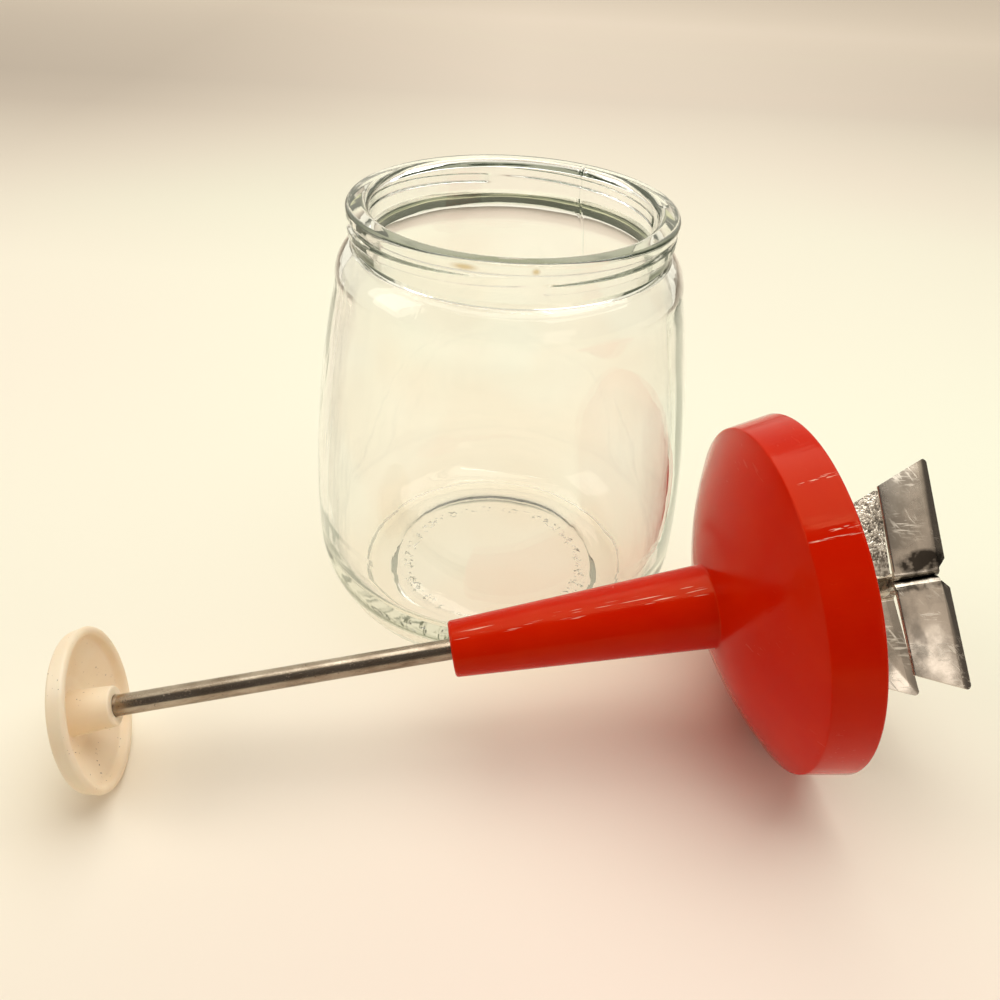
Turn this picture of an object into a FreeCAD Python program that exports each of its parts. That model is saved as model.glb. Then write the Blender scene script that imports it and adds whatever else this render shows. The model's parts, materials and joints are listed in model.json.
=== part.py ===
import FreeCAD, Part
import math
import os

import Sketcher
from FreeCAD import Vector

# Plunger food chopper: a glass jar, and the chopping head that lies in front of it.
# Millimetres, +Z up. The origin is the centre of the jar's foot, on the table.
# The head (lid, rod guide, plunger) is modelled along its own axis: there Z is 0 at the
# knob's rim and grows along the rod to the blades. One placement then lays it down.

SIZES = {
    # glass jar
    "jar_height": 116.0,
    "lip_outer_radius": 40.0,
    "lip_inner_radius": 34.7,
    "lip_round": 1.6,
    "lip_band": 2.3,
    "neck_radius": 38.8,
    "neck_height": 10.1,
    "neck_root_radius": 39.4,
    "shoulder_height": 19.0,
    "shoulder_radius": 43.4,
    "shoulder_curve": 10.0,
    "body_radius": 51.9,
    "body_widest_height": 24.0,
    "barrel_curve": 315.0,
    "heel_curve": 28.7,
    "foot_radius": 41.8,
    "foot_height": 3.0,
    "foot_ring_width": 10.6,
    "push_up": 2.4,
    "glass_wall": 3.2,
    "floor_thickness": 6.6,
    "floor_radius": 30.0,
    "inner_heel_curve": 20.0,
    # four-start thread of the jar and the lid
    "thread_starts": 4,
    "thread_lead": 8.0,
    "thread_width": 2.5,
    "thread_height": 1.1,
    "thread_bite": 0.5,
    "thread_drop": 7.1,
    "thread_rise": 2.1,
    "thread_first_angle": -78.5,
    "lug_rise": 1.2,
    "lug_width": 1.4,
    "lug_radius": 39.3,
    # how the head lies beside the jar
    "head_x": -89.7,
    "head_y": -79.9,
    "head_yaw": 9.9,
    # knob
    "knob_radius": 19.3,
    "knob_back_radius": 9.8,
    "knob_depth": 7.6,
    "knob_wall": 2.1,
    "knob_boss_radius": 4.7,
    "knob_boss_length": 4.5,
    # rod
    "rod_radius": 2.5,
    "rod_grip": 9.0,
    "running_gap": 0.1,
    "tang_width": 7.0,
    "tang_thickness": 1.6,
    "tang_offset": 1.4,
    # lid moulding
    "sleeve_start": 83.2,
    "sleeve_tip_radius": 6.7,
    "sleeve_root": 145.2,
    "sleeve_root_radius": 10.2,
    "sleeve_end_wall": 3.0,
    "lid_wall": 2.0,
    "lid_corner": 157.1,
    "lid_corner_radius": 41.4,
    "lid_dome_curve": 105.0,
    "lid_rim": 168.0,
    "lid_rim_radius": 43.3,
    "lid_seat": 158.3,
    "lid_bore_radius": 40.4,
    # rod guide, gasket and washer
    "guide_radius": 34.9,
    "guide_thickness": 1.6,
    "guide_hub_radius": 5.5,
    "guide_hub_top": 148.0,
    "guide_hub_end": 182.3,
    "gasket_thickness": 0.9,
    "gasket_inner_radius": 33.5,
    "washer_radius": 8.0,
    "washer_start": 182.6,
    "washer_thickness": 1.4,
    # blades
    "tang_start": 184.5,
    "upper_start": 184.8,
    "lower_start": 184.3,
    "strip_width": 12.6,
    "strip_thickness": 1.0,
    "channel_half_width": 15.1,
    "bend_radius": 1.0,
    "upper_wing_short": 21.4,
    "upper_wing_long": 26.3,
    "upper_lean_left": 5.2,
    "upper_lean_right": -7.7,
    "lower_wing_short": 20.8,
    "lower_wing_long": 26.4,
    "lower_lean_left": 0.5,
    "lower_lean_right": -3.9,
    "edge_set_back": 2.0,
    "bevel_length": 2.4,
    "bevel_depth": 0.75,
    "tip_round": 1.1,
    "blade_turn": 37.6,
    "rivet_radius": 1.25,
    "rivet_head_radius": 2.3,
    "rivet_head_height": 0.9,
    "rivet_first": 187.4,
    "rivet_spacing": 4.2,
}


# The relief narrows one wing of each blade: the one on this side of the blade's own X axis.
NARROWED_WING = {"upper": -1, "lower": 1}


class Size:
    """A length that carries its number and the spreadsheet formula that it comes from."""

    def __init__(self, number, formula):
        self.number = number
        self.formula = formula

    def combine(self, other, sign, result):
        other = as_size(other)
        return Size(result(self.number, other.number), f"({self.formula} {sign} {other.formula})")

    def __add__(self, other):
        return self.combine(other, "+", lambda a, b: a + b)

    def __sub__(self, other):
        return self.combine(other, "-", lambda a, b: a - b)

    def __mul__(self, other):
        return self.combine(other, "*", lambda a, b: a * b)

    def __truediv__(self, other):
        return self.combine(other, "/", lambda a, b: a / b)

    def __neg__(self):
        return Size(-self.number, f"(0 - {self.formula})")


def as_size(value):
    return value if isinstance(value, Size) else Size(float(value), repr(float(value)))


def dim(alias):
    return Size(SIZES[alias], f"dims.{alias}")


def make_sheet(doc):
    """Write each driving dimension to a row of the sheet, with its alias."""
    sheet = doc.addObject("Spreadsheet::Sheet", "dims")
    for row, (alias, value) in enumerate(SIZES.items(), start=1):
        sheet.set(f"A{row}", alias)
        sheet.set(f"B{row}", str(value))
        sheet.setAlias(f"B{row}", alias)
    doc.recompute()
    return sheet


def make_body(doc, label, placement=None):
    body = doc.addObject("PartDesign::Body", label)
    body.Label = label
    if placement is not None:
        body.Placement = placement
    return body


def make_sketch(body, name, plane, offset=None, turn=None):
    """An empty sketch on one of the body's own origin planes, raised or turned if asked."""
    sketch = body.newObject("Sketcher::SketchObject", name)
    origin_plane = [f for f in body.Origin.OriginFeatures if f.Role == plane][0]
    sketch.AttachmentSupport = (origin_plane, [""])
    sketch.MapMode = "FlatFace"
    if turn is not None:
        sketch.AttachmentOffset = FreeCAD.Placement(Vector(), Vector(0, 1, 0), turn)
    if offset is not None:
        sketch.setExpression("AttachmentOffset.Base.z", offset.formula)
    return sketch


def arc_between(start, end, radius):
    """Arc from start to end: its centre lies to the left of the way for a positive radius."""
    chord = end - start
    left = Vector(-chord.y, chord.x, 0).normalize()
    sag = abs(radius) - math.sqrt(radius * radius - chord.Length * chord.Length / 4)
    middle = (start + end) * 0.5 - left * math.copysign(sag, radius)
    return Part.Arc(start, middle, end)


def fix_point(sketch, edge, end, x, y):
    """Hold one end of an edge at x, y with constraints that follow the sheet."""
    for kind, axis, size in (("DistanceX", -2, x), ("DistanceY", -1, y)):
        if abs(size.number) < 1e-9:
            sketch.addConstraint(Sketcher.Constraint("PointOnObject", edge, end, axis))
        else:
            index = sketch.addConstraint(Sketcher.Constraint(kind, -1, 1, edge, end, size.number))
            sketch.setExpression(f"Constraints[{index}]", size.formula)


def draw_outline(sketch, corners):
    """Close an outline through corners (x, y) or (x, y, radius of the arc to the next one)."""
    corners = [tuple(as_size(value) for value in corner) for corner in corners]
    places = [Vector(corner[0].number, corner[1].number, 0) for corner in corners]
    first = sketch.GeometryCount
    starts = []
    for index, corner in enumerate(corners):
        here, there = places[index], places[(index + 1) % len(corners)]
        if len(corner) == 3:
            arc = arc_between(here, there, corner[2].number)
            edge = sketch.addGeometry(arc, False)
            starts.append(1 if corner[2].number > 0 else 2)
            size = corner[2] if corner[2].number > 0 else -corner[2]
            bend = sketch.addConstraint(Sketcher.Constraint("Radius", edge, size.number))
            sketch.setExpression(f"Constraints[{bend}]", size.formula)
        else:
            sketch.addGeometry(Part.LineSegment(here, there), False)
            starts.append(1)
    for index, corner in enumerate(corners):
        edge, previous = first + index, first + (index - 1) % len(corners)
        previous_end = 3 - starts[index - 1]
        sketch.addConstraint(
            Sketcher.Constraint("Coincident", edge, starts[index], previous, previous_end))
        fix_point(sketch, edge, starts[index], corner[0], corner[1])


def draw_circle(sketch, x, y, radius):
    x, y, radius = as_size(x), as_size(y), as_size(radius)
    centre = Vector(x.number, y.number, 0)
    edge = sketch.addGeometry(Part.Circle(centre, Vector(0, 0, 1), radius.number), False)
    index = sketch.addConstraint(Sketcher.Constraint("Radius", edge, radius.number))
    sketch.setExpression(f"Constraints[{index}]", radius.formula)
    fix_point(sketch, edge, 3, x, y)


def revolve(body, corners):
    """Turn an outline of (radius, height) corners once round the body's Z axis."""
    sketch = make_sketch(body, f"{body.Label}_profile", "XZ_Plane")
    draw_outline(sketch, corners)
    turned = body.newObject("PartDesign::Revolution", f"{body.Label}_turned")
    turned.Profile = sketch
    turned.ReferenceAxis = (sketch, ["V_Axis"])
    turned.Angle = 360
    sketch.Document.recompute()
    return turned


def pocket_through(body, sketch, towards=0):
    """Cut a sketch right through the body: both ways, or only towards +X or -X (1 or -1)."""
    before = body.Shape.Volume
    pocket = body.newObject("PartDesign::Pocket", f"{sketch.Name}_cut")
    pocket.Profile = sketch
    pocket.Type = "ThroughAll"
    pocket.Midplane = towards == 0
    pocket.Reversed = towards > 0
    body.Document.recompute()
    if body.Shape.Volume >= before - 1e-6:
        raise RuntimeError(f"{pocket.Name} removes nothing from {body.Label}")
    return pocket


def helical_ridges(body, profile, start_angle, rise):
    """Sweep a ridge up a right-hand helix and repeat it for each start of the thread."""
    sketch = make_sketch(body, f"{body.Label}_ridge", "XZ_Plane", turn=start_angle)
    draw_outline(sketch, profile)
    ridge = body.newObject("PartDesign::AdditiveHelix", f"{body.Label}_helix")
    ridge.Profile = sketch
    ridge.ReferenceAxis = (sketch, ["V_Axis"])
    ridge.Mode = 0
    ridge.setExpression("Pitch", dim("thread_lead").formula)
    ridge.setExpression("Height", rise.formula)
    ridge.LeftHanded = False
    body.Document.recompute()
    starts = body.newObject("PartDesign::PolarPattern", f"{body.Label}_starts")
    starts.Originals = [ridge]
    axis = [f for f in body.Origin.OriginFeatures if f.Role == "Z_Axis"][0]
    starts.Axis = (axis, [""])
    starts.Angle = 360
    starts.setExpression("Occurrences", dim("thread_starts").formula)
    body.Tip = starts
    body.Document.recompute()
    return starts


def make_jar(doc):
    """Pressed glass jar: foot ring, heel, barrel body, shoulder, threaded neck and round lip."""
    body = make_body(doc, "glass_jar")
    top = dim("jar_height")
    lip_out, lip_in, rounding = dim("lip_outer_radius"), dim("lip_inner_radius"), dim("lip_round")
    neck, wall = dim("neck_radius"), dim("glass_wall")
    neck_root = top - dim("neck_height")
    shoulder = top - dim("shoulder_height")
    foot, foot_top = dim("foot_radius"), dim("foot_height")
    widest = dim("body_widest_height")
    revolve(body, [
        (0, dim("push_up")),
        (foot - dim("foot_ring_width"), dim("push_up") - 0.8),
        (foot - dim("foot_ring_width") + 1.4, 0),
        (foot - 1.2, 0, 1.3),
        (foot, 1.2),
        (foot, foot_top - 0.4),
        (foot + 1.2, foot_top + 0.2, dim("heel_curve")),
        (dim("body_radius"), widest, dim("barrel_curve")),
        (dim("shoulder_radius"), shoulder, dim("shoulder_curve")),
        (dim("neck_root_radius"), neck_root, -1.4),
        (neck, neck_root + 1.2),
        (neck, top - dim("lip_band") - 0.6),
        (lip_out, top - dim("lip_band")),
        (lip_out, top - rounding, rounding),
        (lip_out - rounding, top),
        (lip_in + rounding, top, rounding),
        (lip_in, top - rounding),
        (lip_in, neck_root - 2.0, -8.0),
        (dim("shoulder_radius") - wall, shoulder - 1.0, -(dim("barrel_curve") - wall)),
        (dim("body_radius") - wall, widest, -dim("inner_heel_curve")),
        (dim("floor_radius"), dim("floor_thickness")),
        (0, dim("floor_thickness") + 0.4),
    ])
    low = top - dim("thread_drop")
    width, bite, height = dim("thread_width"), dim("thread_bite"), dim("thread_height")
    helical_ridges(body, [
        (neck - bite, low),
        (neck + height * 0.5, low + 0.1),
        (neck + height, low + width * 0.3),
        (neck + height, low + width * 0.6),
        (neck - bite, low + width),
    ], SIZES["thread_first_angle"], dim("thread_rise"))
    return body


def make_knob(doc, placement):
    """Moulded dish with a rolled rim; the boss in its hollow side grips the rod."""
    body = make_body(doc, "knob", placement)
    rim, wall, depth = dim("knob_radius"), dim("knob_wall"), dim("knob_depth")
    back, boss = dim("knob_back_radius"), dim("knob_boss_radius")
    socket = dim("rod_radius")
    bottom = dim("knob_boss_length") - dim("rod_grip")
    revolve(body, [
        (0, -depth),
        (back - 1.5, -depth, 1.8),
        (back, -depth + 0.7),
        (rim - 0.6, -3.0),
        (rim - 0.2, -1.0),
        (rim, 0, wall * 0.51),
        (rim - wall, 0),
        (rim - wall - 0.4, -1.2),
        (back - 1.2, wall - depth),
        (boss + 0.6, wall - depth - 0.1),
        (boss, dim("knob_boss_length") - 0.4),
        (boss - 0.4, dim("knob_boss_length")),
        (socket, dim("knob_boss_length")),
        (socket, bottom),
        (0, bottom),
    ])
    return body


def make_rod(doc, placement):
    """Steel rod; its lower end is pressed flat to one side as a tang, drilled for two rivets."""
    body = make_body(doc, "plunger_rod", placement)
    start = dim("knob_boss_length") - dim("rod_grip")
    end, radius = dim("tang_start"), dim("rod_radius")
    revolve(body, [
        (0, start),
        (radius - 0.4, start),
        (radius, start + 0.4),
        (radius, end - 0.3),
        (radius - 0.3, end),
        (0, end),
    ])
    sketch = make_sketch(body, "tang_section", "XY_Plane", offset=end)
    half_width, half_thick = dim("tang_width") / 2, dim("tang_thickness") / 2
    low, high = -dim("tang_offset") - half_thick, -dim("tang_offset") + half_thick
    draw_outline(sketch, [
        (-half_width, low), (half_width, low), (half_width, high), (-half_width, high),
    ])
    tang = body.newObject("PartDesign::Pad", "tang")
    tang.Profile = sketch
    tang.setExpression("Length", (dim("strip_width") - dim("edge_set_back")).formula)
    doc.recompute()
    drill_rivet_holes(body)
    return body


def drill_rivet_holes(body):
    sketch = make_sketch(body, f"{body.Label}_rivet_holes", "XZ_Plane")
    for number in range(2):
        height = dim("rivet_first") + dim("rivet_spacing") * number
        draw_circle(sketch, 0, height, dim("rivet_radius"))
    pocket_through(body, sketch)


def make_lid(doc, placement):
    """One moulding: long tapered sleeve for the rod, shallow dome, and flared threaded skirt."""
    body = make_body(doc, "lid_shell", placement)
    tip, start = dim("sleeve_tip_radius"), dim("sleeve_start")
    root, root_radius = dim("sleeve_root"), dim("sleeve_root_radius")
    corner, corner_radius = dim("lid_corner"), dim("lid_corner_radius")
    rim, rim_radius = dim("lid_rim"), dim("lid_rim_radius")
    wall, seat = dim("lid_wall"), dim("lid_seat")
    hole = dim("rod_radius") + dim("running_gap")
    recess = dim("guide_radius")
    revolve(body, [
        (hole, start),
        (tip - 0.6, start, 0.6),
        (tip, start + 0.6),
        (root_radius, root, dim("lid_dome_curve")),
        (corner_radius - 0.9, corner - 0.5, 1.0),
        (corner_radius, corner + 0.5),
        (rim_radius, rim - 0.5, 0.5),
        (rim_radius - 0.5, rim),
        (rim_radius - wall + 0.3, rim, 0.3),
        (rim_radius - wall, rim - 0.3),
        (dim("lid_bore_radius"), seat),
        (recess, seat),
        (recess, seat - dim("guide_thickness")),
        (recess - 2.0, seat - dim("guide_thickness")),
        (recess - 2.0, seat - 3.4, -(dim("lid_dome_curve") - wall)),
        (root_radius + 1.0, root + wall),
        (root_radius - wall, root),
        (tip - wall, start + dim("sleeve_end_wall")),
        (hole, start + dim("sleeve_end_wall")),
    ])
    low = rim - dim("lug_rise") - dim("lug_width") - 0.2
    crest = dim("lug_radius")
    outer = dim("lid_bore_radius") + dim("thread_bite") + 0.6
    helical_ridges(body, [
        (crest, low + 0.4),
        (outer, low),
        (outer, low + dim("lug_width")),
        (crest, low + dim("lug_width") - 0.3),
    ], SIZES["thread_first_angle"], dim("lug_rise"))
    return body


def make_guide(doc, placement):
    """Disc with a long hub: it closes the dome's hollow and carries the rod near the blades."""
    body = make_body(doc, "rod_guide", placement)
    seat, thickness = dim("lid_seat"), dim("guide_thickness")
    hub, hole = dim("guide_hub_radius"), dim("rod_radius") + dim("running_gap")
    revolve(body, [
        (hole, dim("guide_hub_top")),
        (hub - 0.6, dim("guide_hub_top")),
        (hub, dim("guide_hub_top") + 0.6),
        (hub, seat - thickness),
        (dim("guide_radius"), seat - thickness),
        (dim("guide_radius"), seat),
        (hub + 1.5, seat, -1.5),
        (hub, seat + 1.5),
        (hub, dim("guide_hub_end") - 0.5),
        (hub - 0.5, dim("guide_hub_end")),
        (hole, dim("guide_hub_end")),
    ])
    return body


def make_gasket(doc, placement):
    """Flat sealing ring: it lies on the lid's seat and laps over the rim of the guide."""
    body = make_body(doc, "lid_gasket", placement)
    seat, thickness = dim("lid_seat"), dim("gasket_thickness")
    inner, outer = dim("gasket_inner_radius"), dim("lid_bore_radius") - 0.3
    revolve(body, [
        (inner, seat), (outer, seat),
        (outer, seat + thickness), (inner, seat + thickness),
    ])
    return body


def make_washer(doc, placement):
    """Washer on the rod that takes the stop of the blades against the guide's hub."""
    body = make_body(doc, "stop_washer", placement)
    start, end = dim("washer_start"), dim("washer_start") + dim("washer_thickness")
    hole, radius = dim("rod_radius") + dim("running_gap"), dim("washer_radius")
    revolve(body, [
        (hole, start), (radius - 0.3, start), (radius, start + 0.3),
        (radius, end - 0.3), (radius - 0.3, end), (hole, end),
    ])
    return body


def make_blade(doc, which, placement):
    """Stainless strip bent to a channel; its wings grow longer towards the ground edge.

    The strips are bent by hand, so each wing has its own lean.
    """
    body = make_body(doc, f"{which}_blade", placement)
    outer, thick = dim("channel_half_width"), dim("strip_thickness")
    bend, tip = dim("bend_radius"), dim(f"{which}_wing_long")
    left, right = dim(f"{which}_lean_left"), dim(f"{which}_lean_right")
    start, width = dim(f"{which}_start"), dim("strip_width")
    section = make_sketch(body, f"{which}_section", "XY_Plane", offset=start)
    inner, outer_bend = outer - thick, bend + thick
    draw_outline(section, [
        (outer + right, tip), (inner + right, tip),
        (inner, outer_bend, -bend),
        (inner - bend, thick), (-(inner - bend), thick, -bend),
        (-inner, outer_bend), (-(inner + left), tip), (-(outer + left), tip),
        (-outer, outer_bend, outer_bend),
        (-(outer - outer_bend), 0), (outer - outer_bend, 0, outer_bend),
        (outer, outer_bend),
    ])
    strip = body.newObject("PartDesign::Pad", f"{which}_strip")
    strip.Profile = section
    strip.setExpression("Length", width.formula)
    doc.recompute()
    trim_wings(body, which)
    cut_relief(body, which, thick)
    grind_edge(body, which, 1, right)
    grind_edge(body, which, -1, left)
    drill_rivet_holes(body)
    return body


def trim_wings(body, which):
    """Cut the sloping tips, each with its round corner at the ground edge."""
    side = make_sketch(body, f"{which}_side", "YZ_Plane")
    short, tip = dim(f"{which}_wing_short"), dim(f"{which}_wing_long")
    start, corner = dim(f"{which}_start"), dim("tip_round")
    edge = start + dim("strip_width")
    slope = (tip - short) / dim("strip_width")
    past = 2.0
    draw_outline(side, [
        (short - slope * past, start - past),
        (tip - slope * corner, edge - corner, corner * 1.1),
        (tip - corner - 0.2, edge),
        (tip - corner - 0.2, edge + past),
        (tip + past, edge + past),
        (tip + past, start - past),
    ])
    pocket_through(body, side)


def cut_relief(body, which, fold):
    """Set the web back at the ground edge, up to the one wing that keeps its full width."""
    whole = NARROWED_WING[which]
    reach = dim("channel_half_width") - dim("bend_radius") - dim("strip_thickness")
    edge = dim(f"{which}_start") + dim("strip_width")
    back, past = edge - dim("edge_set_back"), 2.0
    relief = make_sketch(body, f"{which}_relief", "YZ_Plane",
                         offset=-reach if whole > 0 else reach)
    draw_outline(relief, [
        (fold - past, back), (fold + 0.4, back),
        (fold + dim("edge_set_back") + 0.4, edge + 0.1),
        (fold + dim("edge_set_back") + 0.4, edge + past),
        (fold - past, edge + past),
    ])
    pocket_through(body, relief, towards=whole)


def grind_edge(body, which, side, lean):
    """Take the outside of one wing down to a thin edge; the cutter follows the wing's lean."""
    outer, fold = dim("channel_half_width"), dim("bend_radius") + dim("strip_thickness")
    edge = dim(f"{which}_start") + dim("strip_width")
    length, depth = dim("bevel_length"), dim("bevel_depth")
    steep = depth / length
    height = (dim(f"{which}_wing_long") - fold).number
    angle = math.degrees(math.atan2(lean.number, height))
    face = (outer - lean * (fold.number / height)) * math.cos(math.radians(angle))
    name = f"{which}_bevel_{'right' if side > 0 else 'left'}"
    bevel = make_sketch(body, name, "XZ_Plane", turn=-side * angle)
    corners = [
        (face, edge - length), (face - depth - steep, edge + 1.0),
        (face + 1.0, edge + 1.0), (face + 1.0, edge - length),
    ]
    draw_outline(bevel, [(x * side, y) for x, y in corners])
    pocket_through(body, bevel)


def make_rivets(doc, placement):
    """Two round-head rivets through the tang and both blades: one node, two solids."""
    shank, head = SIZES["rivet_radius"], SIZES["rivet_head_radius"]
    height = SIZES["rivet_head_height"]
    top = SIZES["tang_thickness"] / 2 - SIZES["tang_offset"]
    bottom = top - SIZES["tang_thickness"] - 2 * SIZES["strip_thickness"]
    dome = (head * head + height * height) / (2 * height)
    rivets = []
    for number in range(2):
        along = SIZES["rivet_first"] + number * SIZES["rivet_spacing"]
        rivet = Part.makeCylinder(shank, top - bottom, Vector(0, bottom, along), Vector(0, 1, 0))
        for side, face in ((1, top), (-1, bottom)):
            ball = Part.makeSphere(dome, Vector(0, face + side * (height - dome), along))
            seat = Part.makeCylinder(head, height, Vector(0, face, along), Vector(0, side, 0))
            rivet = rivet.fuse(ball.common(seat))
        rivets.append(rivet.removeSplitter())
    node = doc.addObject("Part::Feature", "blade_rivets")
    node.Shape = Part.makeCompound(rivets)
    node.Label = "blade_rivets"
    node.Placement = placement
    return node


def head_placement():
    """The head rests on two circles, the knob's rim and the lid's rim, so it lies tilted."""
    reach = SIZES["lid_rim"] - 0.5
    tilt = math.atan2(SIZES["lid_rim_radius"] - SIZES["knob_radius"], reach)
    height = SIZES["knob_radius"] * math.cos(tilt)
    lean = FreeCAD.Rotation(SIZES["head_yaw"], 90 - math.degrees(tilt), 0)
    return FreeCAD.Placement(Vector(SIZES["head_x"], SIZES["head_y"], height), lean)


def turned(placement, angle):
    """The same placement, with the piece first turned about its own Z axis."""
    return placement.multiply(FreeCAD.Placement(Vector(), Vector(0, 0, 1), angle))


def blade_seat(placement):
    """Where the two blades meet back to back: both lie on one side of the rod's tang."""
    drop = SIZES["tang_offset"] + SIZES["tang_thickness"] / 2 + SIZES["strip_thickness"]
    return placement.multiply(FreeCAD.Placement(Vector(0, -drop, 0), FreeCAD.Rotation()))


def check(doc):
    for item in doc.Objects:
        if "Invalid" in item.State or "Error" in item.State:
            raise RuntimeError(f"{item.Name} failed: {item.State}")


def main():
    doc = FreeCAD.newDocument("food_chopper")
    make_sheet(doc)
    head = head_placement()
    tang = turned(head, SIZES["blade_turn"])
    seat = blade_seat(tang)
    subparts = [
        make_jar(doc),
        make_lid(doc, head),
        make_guide(doc, head),
        make_gasket(doc, head),
        make_washer(doc, head),
        make_rod(doc, tang),
        make_knob(doc, head),
        make_blade(doc, "upper", seat),
        make_blade(doc, "lower", turned(seat, 180)),
        make_rivets(doc, tang),
    ]
    doc.recompute()
    check(doc)
    for part in subparts:
        if part.Shape.isNull() or not part.Shape.isValid():
            raise RuntimeError(f"{part.Label} has no valid shape")
    os.makedirs("parts", exist_ok=True)
    for part in subparts:
        part.Shape.exportStep(f"parts/{part.Label}.step")
        box = part.Shape.BoundBox
        print(f"{part.Label}: {len(part.Shape.Solids)} solid(s), {part.Shape.Volume:.0f} mm3,"
              f" {box.XLength:.1f} x {box.YLength:.1f} x {box.ZLength:.1f} mm")


main()
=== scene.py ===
# %% [markdown]
# # A plunger food chopper, dressed for its picture
# The chopper is a pressed glass jar with a screw neck, and a chopping head that lies beside
# it: an orange-red lid with a long sleeve, a steel rod through it, a cream knob at one end
# and folded blades at the other. The frame holds every piece at its real size and place.
# This file gives each piece its smooth surface and its finish, one step at a time.

import json
import math

import bpy
from mathutils import Matrix, Vector


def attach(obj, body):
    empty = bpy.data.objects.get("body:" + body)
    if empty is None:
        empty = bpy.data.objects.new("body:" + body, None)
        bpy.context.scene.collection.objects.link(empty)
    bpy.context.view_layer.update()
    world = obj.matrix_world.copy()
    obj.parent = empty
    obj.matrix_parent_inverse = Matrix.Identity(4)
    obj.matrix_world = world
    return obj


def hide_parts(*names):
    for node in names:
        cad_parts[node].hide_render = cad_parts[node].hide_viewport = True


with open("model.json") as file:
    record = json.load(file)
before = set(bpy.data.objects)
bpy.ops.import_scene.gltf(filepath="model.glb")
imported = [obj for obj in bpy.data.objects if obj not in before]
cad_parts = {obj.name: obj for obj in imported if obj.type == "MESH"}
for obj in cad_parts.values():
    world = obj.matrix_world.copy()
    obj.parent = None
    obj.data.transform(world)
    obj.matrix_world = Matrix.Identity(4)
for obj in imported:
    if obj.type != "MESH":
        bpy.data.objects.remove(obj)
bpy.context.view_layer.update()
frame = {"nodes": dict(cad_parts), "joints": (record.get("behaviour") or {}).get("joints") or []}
MM = 0.001

# %% [markdown]
# ## Where the head lies
# The lid, the rod and the blades share one axis. The frame's hinge gives a point on that axis,
# at the knob's rim, and its direction towards the blades. So the head can be made upright, like
# work on a lathe, and laid down at the end with one matrix. Making it in place, already tilted,
# would work too, but then every profile would need sums that hide its shape.

# %% Read the head's axis from its hinge
turn_joint = [joint for joint in frame["joints"] if joint["name"] == "plunger_turn"][0]
knob_rim = Vector(turn_joint["pos_m"])
along = Vector(turn_joint["axis"]).normalized()
away = Vector((0, 0, 1)).cross(along).normalized()
down = away.cross(along)
head_turn = Matrix((down, away, along)).transposed()
head_place = Matrix.Translation(knob_rim) @ head_turn.to_4x4()
print("the knob's rim is centred at", [round(value / MM, 1) for value in knob_rim], "mm")
print("the rod rises by", round(math.degrees(math.asin(along.z)), 2), "degrees")

# %% [markdown]
# ## The camera
# A camera is a place, a direction and a lens. It looks down at the table from in front of the
# jar, leans slightly, and has a moderate wide lens, so the near blades look larger than the far
# ones. Its three directions are worked out from its pitch and roll, both in radians.

# %% Set the camera
CAMERA_PLACE = Vector((0.85, -214.8, 185.3)) * MM
CAMERA_PITCH = 0.635
CAMERA_ROLL = 0.058
CAMERA_LENS = 32.18
CAMERA_SENSOR = 36.0
NEAREST_SEEN = 10 * MM

look = Vector((0, math.cos(CAMERA_PITCH), -math.sin(CAMERA_PITCH)))
level = Vector((1, 0, 0))
upright = level.cross(look)
right = level * math.cos(CAMERA_ROLL) + upright * math.sin(CAMERA_ROLL)
up = upright * math.cos(CAMERA_ROLL) - level * math.sin(CAMERA_ROLL)
camera_data = bpy.data.cameras.new("camera")
camera_data.lens = CAMERA_LENS
camera_data.sensor_width = CAMERA_SENSOR
camera_data.clip_start = NEAREST_SEEN
camera = bpy.data.objects.new("camera", camera_data)
bpy.context.scene.collection.objects.link(camera)
turn = Matrix((right, up, -look)).transposed()
camera.matrix_world = Matrix.Translation(CAMERA_PLACE) @ turn.to_4x4()
bpy.context.scene.camera = camera
print("camera height in mm:", round(CAMERA_PLACE.z / MM, 1))

# %% [markdown]
# ## Small helpers for edit mode
# Edit-mode operators act on what is selected, so each step starts by clearing the selection or
# by picking one piece. Two more helpers carry an upright piece to where the head lies, and
# finish a piece: it gets its material, rides on its body, and stands for its CAD node.

# %% Helpers to pick, lay down and finish a piece
WELD_GAP = 0.002 * MM


def deselect_all():
    if bpy.context.object and bpy.context.object.mode != "OBJECT":
        bpy.ops.object.mode_set(mode="OBJECT")
    bpy.ops.object.select_all(action="DESELECT")


def pick(piece):
    deselect_all()
    piece.select_set(True)
    bpy.context.view_layer.objects.active = piece


def lay_down(piece):
    """Carry a piece made upright on the head's own axis to where the head lies."""
    pick(piece)
    piece.matrix_world = head_place @ piece.matrix_world
    bpy.ops.object.transform_apply(location=True, rotation=True, scale=True)


def weld_and_face_out(piece):
    """Merge doubled points, and turn every face outwards."""
    pick(piece)
    bpy.ops.object.mode_set(mode="EDIT")
    bpy.ops.mesh.select_all(action="SELECT")
    bpy.ops.mesh.remove_doubles(threshold=WELD_GAP)
    bpy.ops.mesh.normals_make_consistent(inside=False)
    bpy.ops.object.mode_set(mode="OBJECT")


def finish_piece(piece, node, body, material, smooth_angle=35):
    """Dress a finished piece, let it ride on its body, and let it stand for its CAD node."""
    pick(piece)
    bpy.ops.object.shade_smooth_by_angle(angle=math.radians(smooth_angle))
    piece.data.materials.clear()
    piece.data.materials.append(material)
    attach(piece, body)
    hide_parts(node)
    print(piece.name, "has", len(piece.data.polygons), "faces")


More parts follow.
